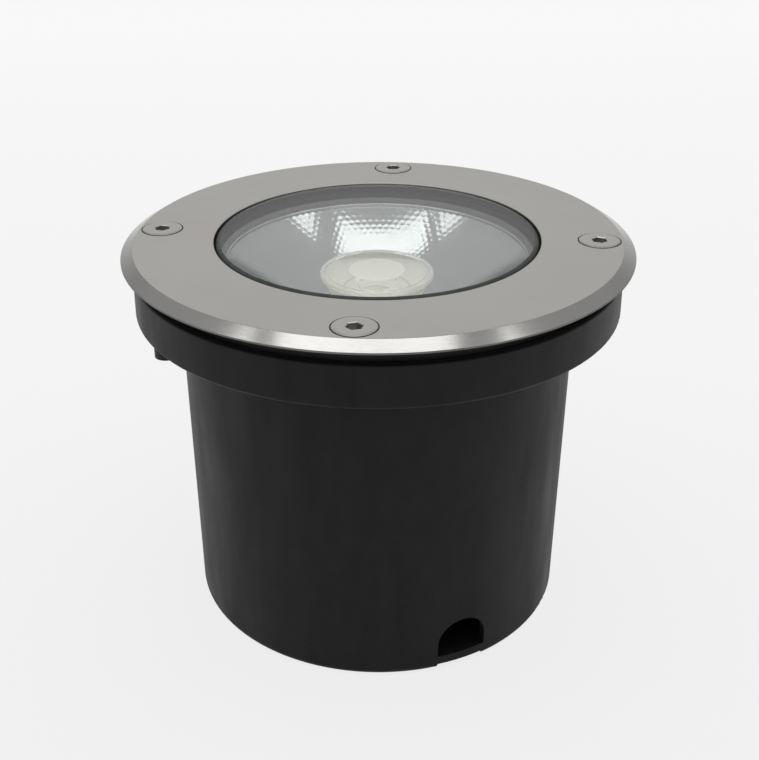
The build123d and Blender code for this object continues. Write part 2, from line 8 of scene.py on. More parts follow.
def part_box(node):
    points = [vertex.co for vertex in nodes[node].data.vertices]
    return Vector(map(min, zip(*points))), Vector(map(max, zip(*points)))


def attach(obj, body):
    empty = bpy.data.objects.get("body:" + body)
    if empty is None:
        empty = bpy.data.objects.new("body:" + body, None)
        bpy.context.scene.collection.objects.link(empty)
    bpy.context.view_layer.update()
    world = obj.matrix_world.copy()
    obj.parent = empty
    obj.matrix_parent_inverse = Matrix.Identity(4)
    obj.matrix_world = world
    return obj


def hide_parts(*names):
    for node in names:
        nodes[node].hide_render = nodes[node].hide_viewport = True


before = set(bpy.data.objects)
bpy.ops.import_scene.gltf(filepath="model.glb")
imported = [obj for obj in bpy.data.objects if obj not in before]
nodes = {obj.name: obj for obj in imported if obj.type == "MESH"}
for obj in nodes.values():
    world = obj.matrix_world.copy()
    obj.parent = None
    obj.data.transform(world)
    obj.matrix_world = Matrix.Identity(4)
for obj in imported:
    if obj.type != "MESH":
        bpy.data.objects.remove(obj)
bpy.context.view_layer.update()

# ---- Mounting sleeve ------------------------------------------------------------------
# The can that is set into the ground, moulded in black glass filled plastic with a collar
# at its top and a loose floor plate. Its skin is the matt grain of a spark eroded mould,
# with a few pale scuffs from handling.


def new_finish(name, **sockets):
    """A new material, with its shader's sockets set by name, such as Base_Color."""
    finish = bpy.data.materials.new(name)
    finish.use_nodes = True
    tree = finish.node_tree
    shader = tree.nodes["Principled BSDF"]
    for socket, value in sockets.items():
        shader.inputs[socket.replace("_", " ")].default_value = value
    return finish, tree, shader


def grain(tree, scale, stretch=(1, 1, 1), detail=3.0):
    """A noise from 0 to 1 over the piece's own coordinates, with 'scale' spots a metre.

    A stretch under 1 draws the spots out along that axis."""
    place = tree.nodes.new("ShaderNodeTexCoord")
    mapping = tree.nodes.new("ShaderNodeMapping")
    mapping.inputs["Scale"].default_value = stretch
    noise = tree.nodes.new("ShaderNodeTexNoise")
    noise.inputs["Scale"].default_value = scale
    noise.inputs["Detail"].default_value = detail
    tree.links.new(place.outputs["Object"], mapping.inputs["Vector"])
    tree.links.new(mapping.outputs["Vector"], noise.inputs["Vector"])
    return noise.outputs["Fac"]


def between(tree, pattern, start, end, low, high):
    """The pattern's stretch from start to end, spread over low to high."""
    spread = tree.nodes.new("ShaderNodeMapRange")
    spread.inputs["From Min"].default_value = start
    spread.inputs["From Max"].default_value = end
    spread.inputs["To Min"].default_value = low
    spread.inputs["To Max"].default_value = high
    tree.links.new(pattern, spread.inputs["Value"])
    return spread.outputs["Result"]


def tint(tree, shader, pattern, *stops):
    """Colours the surface by the pattern, through stops of (place, colour)."""
    ramp = tree.nodes.new("ShaderNodeValToRGB")
    steps = ramp.color_ramp.elements
    while len(steps) < len(stops):
        steps.new(0.5)
    for step, (place, colour) in zip(steps, stops):
        step.position = place
        step.color = (*colour, 1)
    tree.links.new(pattern, ramp.inputs["Fac"])
    tree.links.new(ramp.outputs["Color"], shader.inputs["Base Color"])


def roughen(tree, shader, pattern, low, high, start=0.3, end=0.7):
    """Makes the gloss uneven by the pattern, from roughness low to high."""
    tree.links.new(between(tree, pattern, start, end, low, high), shader.inputs["Roughness"])


def emboss(tree, shader, pattern, depth, strength=1.0):
    """Raises the surface by the pattern, up to depth in metres, over what is there."""
    bump = tree.nodes.new("ShaderNodeBump")
    bump.inputs["Distance"].default_value = depth
    bump.inputs["Strength"].default_value = strength
    tree.links.new(pattern, bump.inputs["Height"])
    if shader.inputs["Normal"].is_linked:
        below = shader.inputs["Normal"].links[0].from_socket
        tree.links.new(below, bump.inputs["Normal"])
    tree.links.new(bump.outputs["Normal"], shader.inputs["Normal"])


def black_plastic():
    """Grained black plastic: two near blacks, and pale scuffs where the noise peaks."""
    finish, tree, shader = new_finish("black_plastic", Specular_IOR_Level=0.21,
                                      Sheen_Weight=0.06, Sheen_Roughness=0.35)
    marks = grain(tree, 210, (1, 1, 0.6), 4)
    tint(tree, shader, marks, (0.3, (0.0040, 0.0042, 0.0046)), (0.7, (0.0066, 0.0068, 0.0074)),
         (0.76, (0.0066, 0.0068, 0.0074)), (0.80, (0.030, 0.030, 0.031)))
    roughen(tree, shader, grain(tree, 120, (1, 1, 0.2), 6), 0.40, 0.56)
    emboss(tree, shader, grain(tree, 2600, detail=2), 0.00004)
    emboss(tree, shader, grain(tree, 60), 0.00012, 0.5)
    return finish


joining_distance = 2e-6
sharp_angle = math.radians(28)


def smooth_copy(node, name):
    """A copy of a CAD node with its loose triangles joined and its curves shaded smooth."""
    shape = bmesh.new()
    shape.from_mesh(nodes[node].data)
    bmesh.ops.remove_doubles(shape, verts=shape.verts, dist=joining_distance)
    mesh = bpy.data.meshes.new(name)
    shape.to_mesh(mesh)
    shape.free()
    piece = bpy.data.objects.new(name, mesh)
    bpy.context.collection.objects.link(piece)
    mesh.shade_smooth()
    mesh.set_sharp_from_angle(angle=sharp_angle)
    return piece


def fit(piece, finish, body, slot, *replaced):
    """Gives a piece its finish and its body, and hides the CAD nodes that it stands for."""
    piece.data.materials.clear()
    piece.data.materials.append(finish)
    flats = piece.modifiers.new("true_flats", "WEIGHTED_NORMAL")
    flats.keep_sharp = True
    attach(piece, body)
    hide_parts(*replaced)


sleeve_finish = black_plastic()
fit(smooth_copy("mounting_sleeve", "sleeve_wall"), sleeve_finish, "sleeve",
    "black_plastic", "mounting_sleeve")
fit(smooth_copy("sleeve_floor", "sleeve_drain_floor"), sleeve_finish, "sleeve",
    "black_plastic", "sleeve_floor")

# ---- Lamp body ------------------------------------------------------------------------
# The housing, a die casting in aluminium: a cup with cooling fins under a ribbed flange,
# by which it hangs in the sleeve. It is powder coated in dark grey.


def dark_casting():
    """Dark powder coat with the slight orange peel that it dries to."""
    finish, tree, shader = new_finish("dark_casting", Specular_IOR_Level=0.3)
    tint(tree, shader, grain(tree, 70), (0.3, (0.007, 0.007, 0.0075)), (0.7, (0.013, 0.013, 0.014)))
    roughen(tree, shader, grain(tree, 300), 0.45, 0.62)
    emboss(tree, shader, grain(tree, 1500, detail=2), 0.00006)
    return finish


fit(smooth_copy("lamp_body", "lamp_casting"), dark_casting(), "lamp", "dark_casting",
    "lamp_body")

# ---- Cable gland ----------------------------------------------------------------------
# A nylon gland screwed through the cup's floor, with a rubber seal that its cap nut
# squeezes round the supply cable. Nylon mouldings with a slight sheen.


def moulding(name, dark, light, low, high, scale=900, depth=0.00003, **sockets):
    """A moulded plastic or rubber: two shades, a roughness range and a fine grain."""
    finish, tree, shader = new_finish(name, **sockets)
    tint(tree, shader, grain(tree, 80), (0.3, dark), (0.7, light))
    roughen(tree, shader, grain(tree, 240), low, high)
    emboss(tree, shader, grain(tree, scale, detail=2), depth)
    return finish


black_nylon = moulding("black_nylon", (0.016, 0.016, 0.017), (0.024, 0.024, 0.025), 0.3, 0.42)
black_rubber = moulding("black_rubber", (0.012, 0.012, 0.012), (0.020, 0.020, 0.020), 0.6, 0.8,
                        1800, 0.00005, Specular_IOR_Level=0.3)
for gland_part in ("gland_body", "gland_nut", "gland_washer", "gland_locknut"):
    fit(smooth_copy(gland_part, gland_part + "_moulding"), black_nylon, "lamp",
        "black_nylon", gland_part)
fit(smooth_copy("gland_seal", "gland_seal_ring"), black_rubber, "lamp", "black_rubber",
    "gland_seal")

# ---- Driver, terminal block and wiring ------------------------------------------------
# The mains driver in a moulded case that hangs under the heat sink plate, the terminal
# block for the supply on the cup's floor, and two silicone leads up to the light engine.

white_plastic = moulding("white_plastic", (0.72, 0.72, 0.69), (0.80, 0.80, 0.77), 0.35, 0.5)
case_plastic = moulding("case_plastic", (0.10, 0.10, 0.105), (0.14, 0.14, 0.147), 0.4, 0.55)
green_board = moulding("green_board", (0.03, 0.20, 0.09), (0.05, 0.27, 0.13), 0.2, 0.35)
dark_core = moulding("dark_core", (0.05, 0.05, 0.055), (0.09, 0.09, 0.10), 0.45, 0.6)
red_silicone = moulding("red_insulation", (0.45, 0.03, 0.02), (0.56, 0.05, 0.04), 0.45, 0.6)
black_silicone = moulding("black_insulation", (0.02, 0.02, 0.02), (0.04, 0.04, 0.04), 0.45, 0.6)


def finish_node(node, finish):
    """Gives a CAD node that keeps its own shape the finish."""
    nodes[node].data.materials.clear()
    nodes[node].data.materials.append(finish)


finish_node("driver_case", case_plastic)
finish_node("driver_lid", case_plastic)
finish_node("driver_board", green_board)
finish_node("driver_transformer", dark_core)
finish_node("driver_capacitors", dark_core)
finish_node("terminal_block", white_plastic)
fit(smooth_copy("led_lead_red", "red_lead"), red_silicone, "lamp", "red_insulation",
    "led_lead_red")
fit(smooth_copy("led_lead_black", "black_lead"), black_silicone, "lamp", "black_insulation",
    "led_lead_black")

# ---- Heat sink plate and small screws -------------------------------------------------
# An aluminium disc, milled flat, that carries the light engine and spreads its heat into
# the cup's wall. Zinc plated pan head screws hold it, the driver and the chip's holder.


def metal(name, dark, light, low, high, stretch, depth=0.000008, **sockets):
    """A bare metal with a grain that runs along the axis of the lowest stretch."""
    finish, tree, shader = new_finish(name, Metallic=1.0, **sockets)
    tint(tree, shader, grain(tree, 120), (0.3, dark), (0.7, light))
    lines = grain(tree, 300, stretch, 4)
    roughen(tree, shader, lines, low, high)
    emboss(tree, shader, lines, depth)
    return finish


plain_aluminium = metal("plain_aluminium", (0.66, 0.66, 0.67), (0.74, 0.74, 0.75), 0.28, 0.4,
                        (0.05, 1, 1))
zinc = metal("zinc_steel", (0.55, 0.56, 0.57), (0.66, 0.67, 0.68), 0.22, 0.38, (1, 1, 1))
fit(smooth_copy("heat_sink_plate", "heat_sink_disc"), plain_aluminium, "lamp",
    "plain_aluminium", "heat_sink_plate")
for screws in ("plate_screws", "driver_screws", "holder_screws", "earth_screw"):
    fit(smooth_copy(screws, screws + "_turned"), zinc, "lamp", "zinc_steel", screws)

# ---- Light engine ---------------------------------------------------------------------
# A chip on a bright ceramic board with a round silicone phosphor, held flat on its
# thermal pad by a white holder. Unlit, the phosphor is a matt yellow.

chip_board = moulding("chip_board", (0.74, 0.74, 0.72), (0.80, 0.80, 0.78), 0.3, 0.45)
grey_pad = moulding("grey_pad", (0.38, 0.39, 0.41), (0.46, 0.47, 0.49), 0.6, 0.8)
phosphor = moulding("yellow_phosphor", (0.80, 0.66, 0.22), (0.88, 0.76, 0.32), 0.35, 0.5, 2500)
finish_node("cob_board", chip_board)
finish_node("thermal_pad", grey_pad)
fit(smooth_copy("cob_phosphor", "phosphor_disc"), phosphor, "lamp", "yellow_phosphor",
    "cob_phosphor")
fit(smooth_copy("cob_holder", "chip_holder"), white_plastic, "lamp", "white_plastic",
    "cob_holder")

# ---- Reflector ------------------------------------------------------------------------
# A moulded plastic bowl, metallised to a mirror. Its face is a honeycomb of small pillow
# facets that grow with the radius, and its plain lip carries the bezel ring.

reflector_low, reflector_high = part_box("reflector")
throat_radius, mouth_radius = 0.0125, 0.0443
foot_depth = 0.001
lip_rise = 0.0008
throat_level = reflector_low.z + foot_depth
mouth_level = reflector_high.z - lip_rise
bowl_curve = (mouth_level - throat_level) / (mouth_radius**2 - throat_radius**2)
facet_columns = 120
facet_turn = math.tau / facet_columns
facet_pillow = 0.0145
facet_crown = 0.3
facet_border = 0.2
facet_crease = math.radians(8)
facet_join = 4e-6
facet_thickness = 0.0003
bowl_wall = 0.0012
bowl_steps = 16
foot_bore = 0.0106
lip_thickness = 0.001
lip_corner = 0.0006
touching = 1e-7


def bowl_level(radius):
    """Height of the bowl at a radius, on a paraboloid from throat to mouth."""
    return throat_level + bowl_curve * (radius**2 - throat_radius**2)


def facet_spread(radius):
    """Length along the bowl over its radius, added up, so that facets keep their shape."""
    slope = 2 * bowl_curve * radius
    return math.hypot(1, slope) - math.asinh(1 / slope)


def facet_radius(spread):
    """The radius that has this spread, found by halving the range that holds it."""
    halvings = 40
    low, high = throat_radius / 2, mouth_radius * 1.5
    for _ in range(halvings):
        middle = (low + high) / 2
        if facet_spread(middle) < spread:
            low = middle
        else:
            high = middle
    return low


def facet_sheet():
    """One column of facets, laid flat, bent to the bowl and repeated round the axis."""
    crown = facet_turn * facet_pillow * facet_crown
    shoulder = facet_turn * facet_pillow - crown
    shape = bmesh.new()
    row_turn = facet_turn * math.sqrt(3) / 2
    spread = facet_spread(throat_radius) - row_turn
    row = 0
    while spread < facet_spread(mouth_radius) + row_turn:
        place = Matrix.Translation((row % 2 * facet_turn / 2, spread, 0))
        bmesh.ops.create_circle(shape, cap_ends=True, segments=6,
                                radius=facet_turn / math.sqrt(3), matrix=place)
        spread += row_turn
        row += 1
    cells = list(shape.faces)
    bmesh.ops.inset_individual(shape, faces=cells, thickness=facet_turn * facet_border,
                               depth=shoulder)
    bmesh.ops.poke(shape, faces=cells, offset=crown)
    for vert in shape.verts:
        turn, spread, lift = vert.co
        radius = facet_radius(spread)
        slope = 2 * bowl_curve * radius
        lift *= radius / math.hypot(1, slope)
        out = radius - slope * lift
        vert.co = (out * math.cos(turn), out * math.sin(turn), bowl_level(radius) + lift)
    bmesh.ops.spin(shape, geom=list(shape.verts) + list(shape.edges) + list(shape.faces),
                   cent=(0, 0, 0), axis=(0, 0, 1), angle=math.tau - facet_turn,
                   steps=facet_columns - 1, use_duplicate=True)
    bmesh.ops.remove_doubles(shape, verts=shape.verts, dist=facet_join)
    for level, side in ((throat_level, -1), (mouth_level, 1)):
        bmesh.ops.bisect_plane(shape, geom=list(shape.verts) + list(shape.edges)
                               + list(shape.faces), dist=touching, plane_co=(0, 0, level),
                               plane_no=(0, 0, side), clear_outer=True)
    bmesh.ops.recalc_face_normals(shape, faces=shape.faces)
    if sum(face.normal.z for face in shape.faces) < 0:
        bmesh.ops.reverse_faces(shape, faces=shape.faces)
    mesh = bpy.data.meshes.new("reflector_facets")
    shape.to_mesh(mesh)
    shape.free()
    mesh.shade_smooth()
    mesh.set_sharp_from_angle(angle=facet_crease)
    piece = bpy.data.objects.new("reflector_facets", mesh)
    bpy.context.collection.objects.link(piece)
    backing = piece.modifiers.new("backing", "SOLIDIFY")
    backing.thickness = facet_thickness
    backing.offset = -1
    return piece


def silvered():
    """Vacuum metallised plastic, a mirror with a faint haze."""
    finish, tree, shader = new_finish("silvered_reflector", Metallic=1.0)
    tint(tree, shader, grain(tree, 50), (0.3, (0.54, 0.56, 0.56)), (0.7, (0.60, 0.615, 0.61)))
    roughen(tree, shader, grain(tree, 90, detail=5), 0.07, 0.13)
    emboss(tree, shader, grain(tree, 700), 0.000004)
    return finish


def turned(name, outline, steps=192, closed=True):
    """Turns an outline of (radius, height) about the lamp's axis into a smooth piece."""
    shape = bmesh.new()
    corners = [shape.verts.new((radius, 0, height)) for radius, height in outline]
    pairs = list(zip(corners, corners[1:]))
    if closed:
        pairs.append((corners[-1], corners[0]))
    edges = [shape.edges.new(pair) for pair in pairs]
    bmesh.ops.spin(shape, geom=corners + edges, cent=(0, 0, 0), axis=(0, 0, 1),
                   angle=math.tau, steps=steps, use_merge=True)
    bmesh.ops.remove_doubles(shape, verts=shape.verts, dist=touching)
    bmesh.ops.recalc_face_normals(shape, faces=shape.faces)
    mesh = bpy.data.meshes.new(name)
    shape.to_mesh(mesh)
    shape.free()
    mesh.shade_smooth()
    mesh.set_sharp_from_angle(angle=sharp_angle)
    piece = bpy.data.objects.new(name, mesh)
    bpy.context.collection.objects.link(piece)
    return piece


def rounded(before, corner, after, radius, steps=5):
    """The points of an arc that rounds the corner between two straight edges."""
    corner, before, after = Vector(corner), Vector(before), Vector(after)
    way_in = (before - corner).normalized()
    way_out = (after - corner).normalized()
    half = way_in.angle(way_out) / 2
    reach = radius / math.tan(half)
    centre = corner + (way_in + way_out).normalized() * (radius / math.sin(half))
    start = corner + way_in * reach - centre
    end = corner + way_out * reach - centre
    spokes = [start.lerp(end, i / steps).normalized() * radius for i in range(steps + 1)]
    return [tuple(centre + spoke) for spoke in spokes]


def soft_outline(*corners):
    """An outline of (radius, height, rounding) with an arc in place of each corner."""
    points = []
    for i, (radius, height, rounding) in enumerate(corners):
        before = corners[i - 1][:2]
        after = corners[(i + 1) % len(corners)][:2]
        if rounding:
            points += rounded(before, (radius, height), after, rounding)
        else:
            points.append((radius, height))
    return points


def reflector_shell():
    """The bowl behind the facets, with its lip and its open throat."""
    stations = [throat_radius + (mouth_radius - throat_radius) * i / bowl_steps
                for i in range(bowl_steps + 1)]
    behind = facet_thickness * 0.7
    face = [(radius + behind, bowl_level(radius) - behind) for radius in stations]
    back = [(radius + bowl_wall, bowl_level(radius) - bowl_wall) for radius in stations[1:]]
    lip = soft_outline(
        (mouth_radius, mouth_level - facet_thickness, 0),
        (mouth_radius, reflector_high.z, lip_corner),
        (reflector_high.x, reflector_high.z, 0.0001),
        (reflector_high.x, reflector_high.z - lip_thickness, 0.0001),
        (mouth_radius + bowl_wall, reflector_high.z - lip_thickness, 0),
    )
    foot = [(throat_radius + bowl_wall, reflector_low.z), (foot_bore, reflector_low.z),
            (foot_bore, throat_level - 0.0001)]
    return turned("reflector_bowl", face[:-1] + lip + back[::-1] + foot)


silver = silvered()
fit(reflector_shell(), silver, "lamp", "silvered_reflector", "reflector")
fit(facet_sheet(), silver, "lamp", "silvered_reflector", "reflector")

# ---- Bezel ring -----------------------------------------------------------------------
# A grey moulded ring between the reflector's lip and the glass, which hides the casting's
# wall. It is matt and tapers in a little towards the lip.

bezel_low, bezel_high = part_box("bezel_ring")
bezel_inner = 0.0468
bezel_taper = 0.0004
bezel_ring = turned("bezel_collar", soft_outline(
    (bezel_inner - bezel_taper, bezel_low.z, 0),
    (bezel_high.x, bezel_low.z, 0),
    (bezel_high.x, bezel_high.z, 0),
    (bezel_inner, bezel_high.z, 0.0003),
))
grey_moulding = moulding("grey_bezel", (0.020, 0.021, 0.021), (0.030, 0.031, 0.031), 0.45, 0.6)
fit(bezel_ring, grey_moulding, "lamp", "grey_bezel", "bezel_ring")

# ---- Lens -----------------------------------------------------------------------------
# A collimating lens moulded in acrylic, hollow over the chip, with a frosted flank, a
# grooved flange and a milky middle to its crowned top. Its finishes have a weak emission,
# because without that it renders darker than it is in the photograph.

lens_low, lens_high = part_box("lens")
crown_rise = 0.0006
lens_rim = lens_high.z - crown_rise
lens_radius = lens_high.x
crown_radius = lens_radius - 0.0023
milky_radius = 0.0088
flange_thickness = 0.0014
flange_band = 0.0013
groove_flank = 0.0002
groove_floor = 0.0004
groove_depth = 0.0003
lens_waist = 0.0158
lens_foot = 0.0099
foot_height = 0.0015
flare_power = 0.8
flare_steps = 12
lens_hollow = 0.0062
hollow_top = lens_low.z + 0.0065
hollow_rise = 0.0016
flare_low = lens_low.z + foot_height
flare_high = lens_rim - flange_thickness


def crown(radius, low, high, steps=14):
    """Points of a shallow dome from its rim to just before the axis, then the axis."""
    rise = high - low
    sphere = (radius**2 + rise**2) / (2 * rise)
    points = []
    for i in range(steps):
        x = radius * (1 - i / steps)
        points.append((x, high - sphere + math.sqrt(sphere**2 - x**2)))
    return points + [(0, high)]


def lens_piece():
    """The lens's outline from its foot up the flank, over the top and down the hollow."""
    flare = []
    for i in range(1, flare_steps + 1):
        share = i / flare_steps
        flare.append((lens_foot + (lens_waist - lens_foot) * share**flare_power,
                      flare_low + (flare_high - flare_low) * share))
    groove_outer = lens_radius - flange_band
    groove_inner = groove_outer - 2 * groove_flank - groove_floor
    rim = soft_outline(
        (lens_waist, flare_high, 0),
        (lens_radius, flare_high, 0.0002),
        (lens_radius, lens_rim, 0.0003),
        (groove_outer, lens_rim, 0.0001),
        (groove_outer - groove_flank, lens_rim - groove_depth, 0.0001),
        (groove_inner + groove_flank, lens_rim - groove_depth, 0.0001),
        (groove_inner, lens_rim, 0.0001),
        (crown_radius, lens_rim, 0),
    )[1:-1]
    top = crown(crown_radius, lens_rim, lens_high.z)
    under = crown(lens_hollow, hollow_top, hollow_top + hollow_rise)[::-1]
    return turned("lens_body", [(lens_foot, lens_low.z), (lens_foot, flare_low)] + flare + rim
                  + top + under + [(lens_hollow, lens_low.z)])


def clear_acrylic_painted_glow():
    # The weak emission is painted light: the clear acrylic of the unlit lens glows a little of
    # itself.
    finish, tree, shader = new_finish("clear_lens", Transmission_Weight=0.85, IOR=1.49,
                                      Coat_Weight=1.0, Coat_IOR=1.8, Coat_Roughness=0.03,
                                      Emission_Color=(1.0, 0.99, 0.93, 1),
                                      Emission_Strength=0.07)
    tint(tree, shader, grain(tree, 60), (0.0, (0.985, 0.985, 0.97)), (1.0, (0.99, 0.99, 0.98)))
    roughen(tree, shader, grain(tree, 200, detail=4), 0.0, 0.02, 0.4, 0.8)
    return finish


def frosted_acrylic_painted_glow():
    # The weak emission is painted light: the frosted flank of the unlit lens glows a little of
    # itself.
    finish, tree, shader = new_finish("frosted_lens_painted_glow", Transmission_Weight=0.2, IOR=1.49,
                                      Emission_Color=(1.0, 0.98, 0.86, 1),
                                      Emission_Strength=0.10)
    tint(tree, shader, grain(tree, 160), (0.3, (0.95, 0.93, 0.80)), (0.7, (0.98, 0.97, 0.88)))
    roughen(tree, shader, grain(tree, 400), 0.3, 0.5)
    emboss(tree, shader, grain(tree, 2500), 0.00002)
    return finish


def milky_acrylic_painted_glow():
    # The emission is painted light: the milky middle of the unlit lens glows of itself, more than
    # the rest of the lens.
    finish, tree, shader = new_finish("milky_lens_painted_glow", Transmission_Weight=0.3, IOR=1.49,
                                      Coat_Weight=1.0, Coat_IOR=1.8, Coat_Roughness=0.05,
                                      Emission_Color=(1.0, 0.98, 0.82, 1),
                                      Emission_Strength=0.24)
    tint(tree, shader, grain(tree, 160), (0.3, (0.97, 0.96, 0.82)), (0.7, (0.99, 0.98, 0.88)))
    roughen(tree, shader, grain(tree, 300), 0.04, 0.12)
    return finish


lens = lens_piece()
fit(lens, clear_acrylic_painted_glow(), "lamp", "clear_lens", "lens")
lens.data.materials.append(frosted_acrylic_painted_glow())
lens.data.materials.append(milky_acrylic_painted_glow())
for face in lens.data.polygons:
    radius = math.hypot(face.center.x, face.center.y)
    if face.center.z < flare_high - 0.0001 and radius > lens_hollow + 0.0001:
        face.material_index = 1
    elif face.center.z > lens_rim and radius < milky_radius:
        face.material_index = 2

# ---- Cover glass and gasket -----------------------------------------------------------
# Toughened clear glass with a step ground round its edge, so that its middle stands
# flush in the trim ring. The polished faces are clear, and the ground edge is frosted.
# A black silicone gasket of U section wraps the edge and seals it in its seat.


def clear_glass():
    finish, tree, shader = new_finish("clear_glass", Transmission_Weight=1.0, IOR=1.5)
    tint(tree, shader, grain(tree, 20), (0.0, (0.955, 0.975, 0.968)), (1.0, (0.965, 0.982, 0.975)))
    roughen(tree, shader, grain(tree, 60, detail=5), 0.0, 0.012, 0.45, 0.8)
    return finish


def ground_glass():
    finish, tree, shader = new_finish("ground_glass", Transmission_Weight=0.35, IOR=1.5)
    tint(tree, shader, grain(tree, 500), (0.3, (0.035, 0.042, 0.040)), (0.7, (0.06, 0.07, 0.066)))
    roughen(tree, shader, grain(tree, 900), 0.35, 0.6)
    emboss(tree, shader, grain(tree, 2500), 0.00003)
    return finish


glass_low, glass_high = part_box("cover_glass")
gasket_low, gasket_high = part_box("glass_gasket")
ring_low, ring_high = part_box("trim_ring")
glass_flange = glass_high.x
glass_step_height = ring_low.z - 0.001
glass_raised = 0.0475
gasket_gap = 0.0001
gasket_hem = 0.0025
gasket_corner = 0.0004
glass_corner = 0.0013

cover_glass = turned(
    "glass_plate",
    [(0, glass_low.z)]
    + soft_outline(
        (glass_flange, glass_low.z, glass_corner),
        (glass_flange, glass_step_height, glass_corner),
        (glass_raised, glass_step_height, 0),
        (glass_raised, glass_high.z, glass_corner),
        (0, glass_high.z, 0),
        (0, glass_low.z, 0),
    )[:-1],
    closed=False,
)
fit(cover_glass, clear_glass(), "cover", "clear_glass", "cover_glass")
cover_glass.data.materials.append(ground_glass())
for face in cover_glass.data.polygons:
    radius = math.hypot(face.center.x, face.center.y)
    if radius > glass_raised - glass_corner:
        face.material_index = 1

gasket = turned("gasket_ring", soft_outline(
    (glass_raised + gasket_gap, glass_step_height, 0),
    (glass_flange + gasket_gap, glass_step_height, 0),
    (glass_flange + gasket_gap, glass_low.z, 0),
    (glass_flange - gasket_hem, glass_low.z, 0),
    (glass_flange - gasket_hem, gasket_low.z, gasket_corner),
    (gasket_high.x, gasket_low.z, gasket_corner),
    (gasket_high.x, gasket_high.z, gasket_corner / 2),
    (glass_raised + gasket_gap, gasket_high.z, gasket_corner / 2),
))
fit(gasket, black_rubber, "cover", "black_rubber", "glass_gasket")

# ---- Trim ring ------------------------------------------------------------------------
# A ring of stainless steel, turned with a wide bevel and four countersinks. Its flat face
# is brushed to a warm satin, and the bevel is left bright from the lathe.

head_stand = 0.0003
bevel_width = 0.0036
bevel_drop = 0.0022
window_radius = 0.048
head_radius = 0.006
head_gap = 0.0003
land_depth = 0.0005
cutter_reach = 0.001
sliver = 1e-6
ring_face = ring_high.z - head_stand
ring_bevel_inner = ring_high.x - bevel_width
ring_bevel_low = ring_face - bevel_drop
land_radius = head_radius + head_gap
ring_thickness = ring_face - ring_low.z
screw_boxes = {i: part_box(f"trim_screw_{i}") for i in range(1, 5)}


def cut_away(piece, cutter):
    """Cuts the cutter out of the piece, for good, and throws the cutter away."""
    cut = piece.modifiers.new("cut", "BOOLEAN")
    cut.object = cutter
    cut.solver = "EXACT"
    view = bpy.context.evaluated_depsgraph_get()
    mesh = bpy.data.meshes.new_from_object(piece.evaluated_get(view))
    shape = bmesh.new()
    shape.from_mesh(mesh)
    bmesh.ops.dissolve_degenerate(shape, dist=sliver, edges=shape.edges)
    shape.to_mesh(mesh)
    shape.free()
    piece.modifiers.clear()
    piece.data = mesh
    bpy.data.objects.remove(cutter)


def countersink(centre):
    """A cutter for one screw: a land, a cone, and the hole for the shank."""
    hole_radius = land_radius - ring_thickness + land_depth
    above = ring_high.z + cutter_reach
    below = ring_low.z - cutter_reach
    outline = [
        (0, above),
        (land_radius, above),
        (land_radius, ring_face - land_depth),
        (hole_radius, ring_low.z),
        (hole_radius, below),
        (0, below),
    ]
    cutter = turned("cutter", outline, 64, closed=False)
    cutter.data.transform(Matrix.Translation(centre))
    return cutter


def brushed_steel():
    """Satin stainless steel with fine lines brushed along X."""
    finish, tree, shader = new_finish("stainless_steel", Metallic=1.0)
    tint(tree, shader, grain(tree, 26, detail=4),
         (0.3, (0.545, 0.535, 0.508)), (0.7, (0.570, 0.561, 0.536)))
    lines = grain(tree, 1400, (0.06, 1, 1), 3)
    roughen(tree, shader, lines, 0.30, 0.35)
    emboss(tree, shader, lines, 0.000001)
    return finish


def bright_steel():
    """Steel as the lathe leaves it, with fine rings from the tool."""
    finish, tree, shader = new_finish("bright_bevel", Metallic=1.0)
    tint(tree, shader, grain(tree, 30), (0.3, (0.46, 0.455, 0.44)), (0.7, (0.50, 0.495, 0.48)))
    rings = grain(tree, 400, (1, 1, 30), 4)
    roughen(tree, shader, rings, 0.12, 0.2)
    emboss(tree, shader, rings, 0.000004)
    return finish


def rim_steel_painted_shade():
    """The ring's rim and underside, rough from the blanking tool, with their dark colour painted
    shade and painted dark reflection from below.
    """
    finish, tree, shader = new_finish("rim_painted_shade", Metallic=1.0)
    tint(tree, shader, grain(tree, 60), (0.3, (0.17, 0.165, 0.155)), (0.7, (0.22, 0.215, 0.20)))
    roughen(tree, shader, grain(tree, 500), 0.4, 0.55)
    emboss(tree, shader, grain(tree, 900), 0.00001)
    return finish


trim_ring = turned("trim_ring_plate", soft_outline(
    (window_radius, ring_low.z, 0),
    (ring_high.x, ring_low.z, 0.0001),
    (ring_high.x, ring_bevel_low, 0.0002),
    (ring_bevel_inner, ring_face, 0.0004),
    (window_radius, ring_face, 0.0003),
), 256)
for low, high in screw_boxes.values():
    centre = ((low.x + high.x) / 2, (low.y + high.y) / 2, 0)
    cut_away(trim_ring, countersink(centre))
trim_ring.data.set_sharp_from_angle(angle=sharp_angle)
satin = brushed_steel()
fit(trim_ring, satin, "cover", "stainless_steel", "trim_ring")
trim_ring.data.materials.append(bright_steel())
trim_ring.data.materials.append(rim_steel_painted_shade())
# Faces below the bevel take the darker steel, which paints on the rim and underside the shade and
# dark reflection they sit in.
for face in trim_ring.data.polygons:
    if face.center.z < ring_bevel_low:
        face.material_index = 2
    elif math.hypot(face.center.x, face.center.y) > ring_bevel_inner:
        face.material_index = 1

# ---- Trim screws ----------------------------------------------------------------------
# Four M6 countersunk screws with a 4 mm hexagon socket, in stainless steel, cold headed
# with a rolled thread. They pass through the ring and draw it down on the lamp body.

shank_radius = 0.00295
thread_pitch = 0.001
thread_depth = 0.0005
key_width = 0.004
hex_radius = key_width / math.sqrt(3)
socket_depth = 0.0024
socket_chamfer = 0.0003
head_chamfer = 0.0006
head_chamfer_drop = 0.0002
socket_turns = {1: 8, 2: 31, 3: 17, 4: 44}


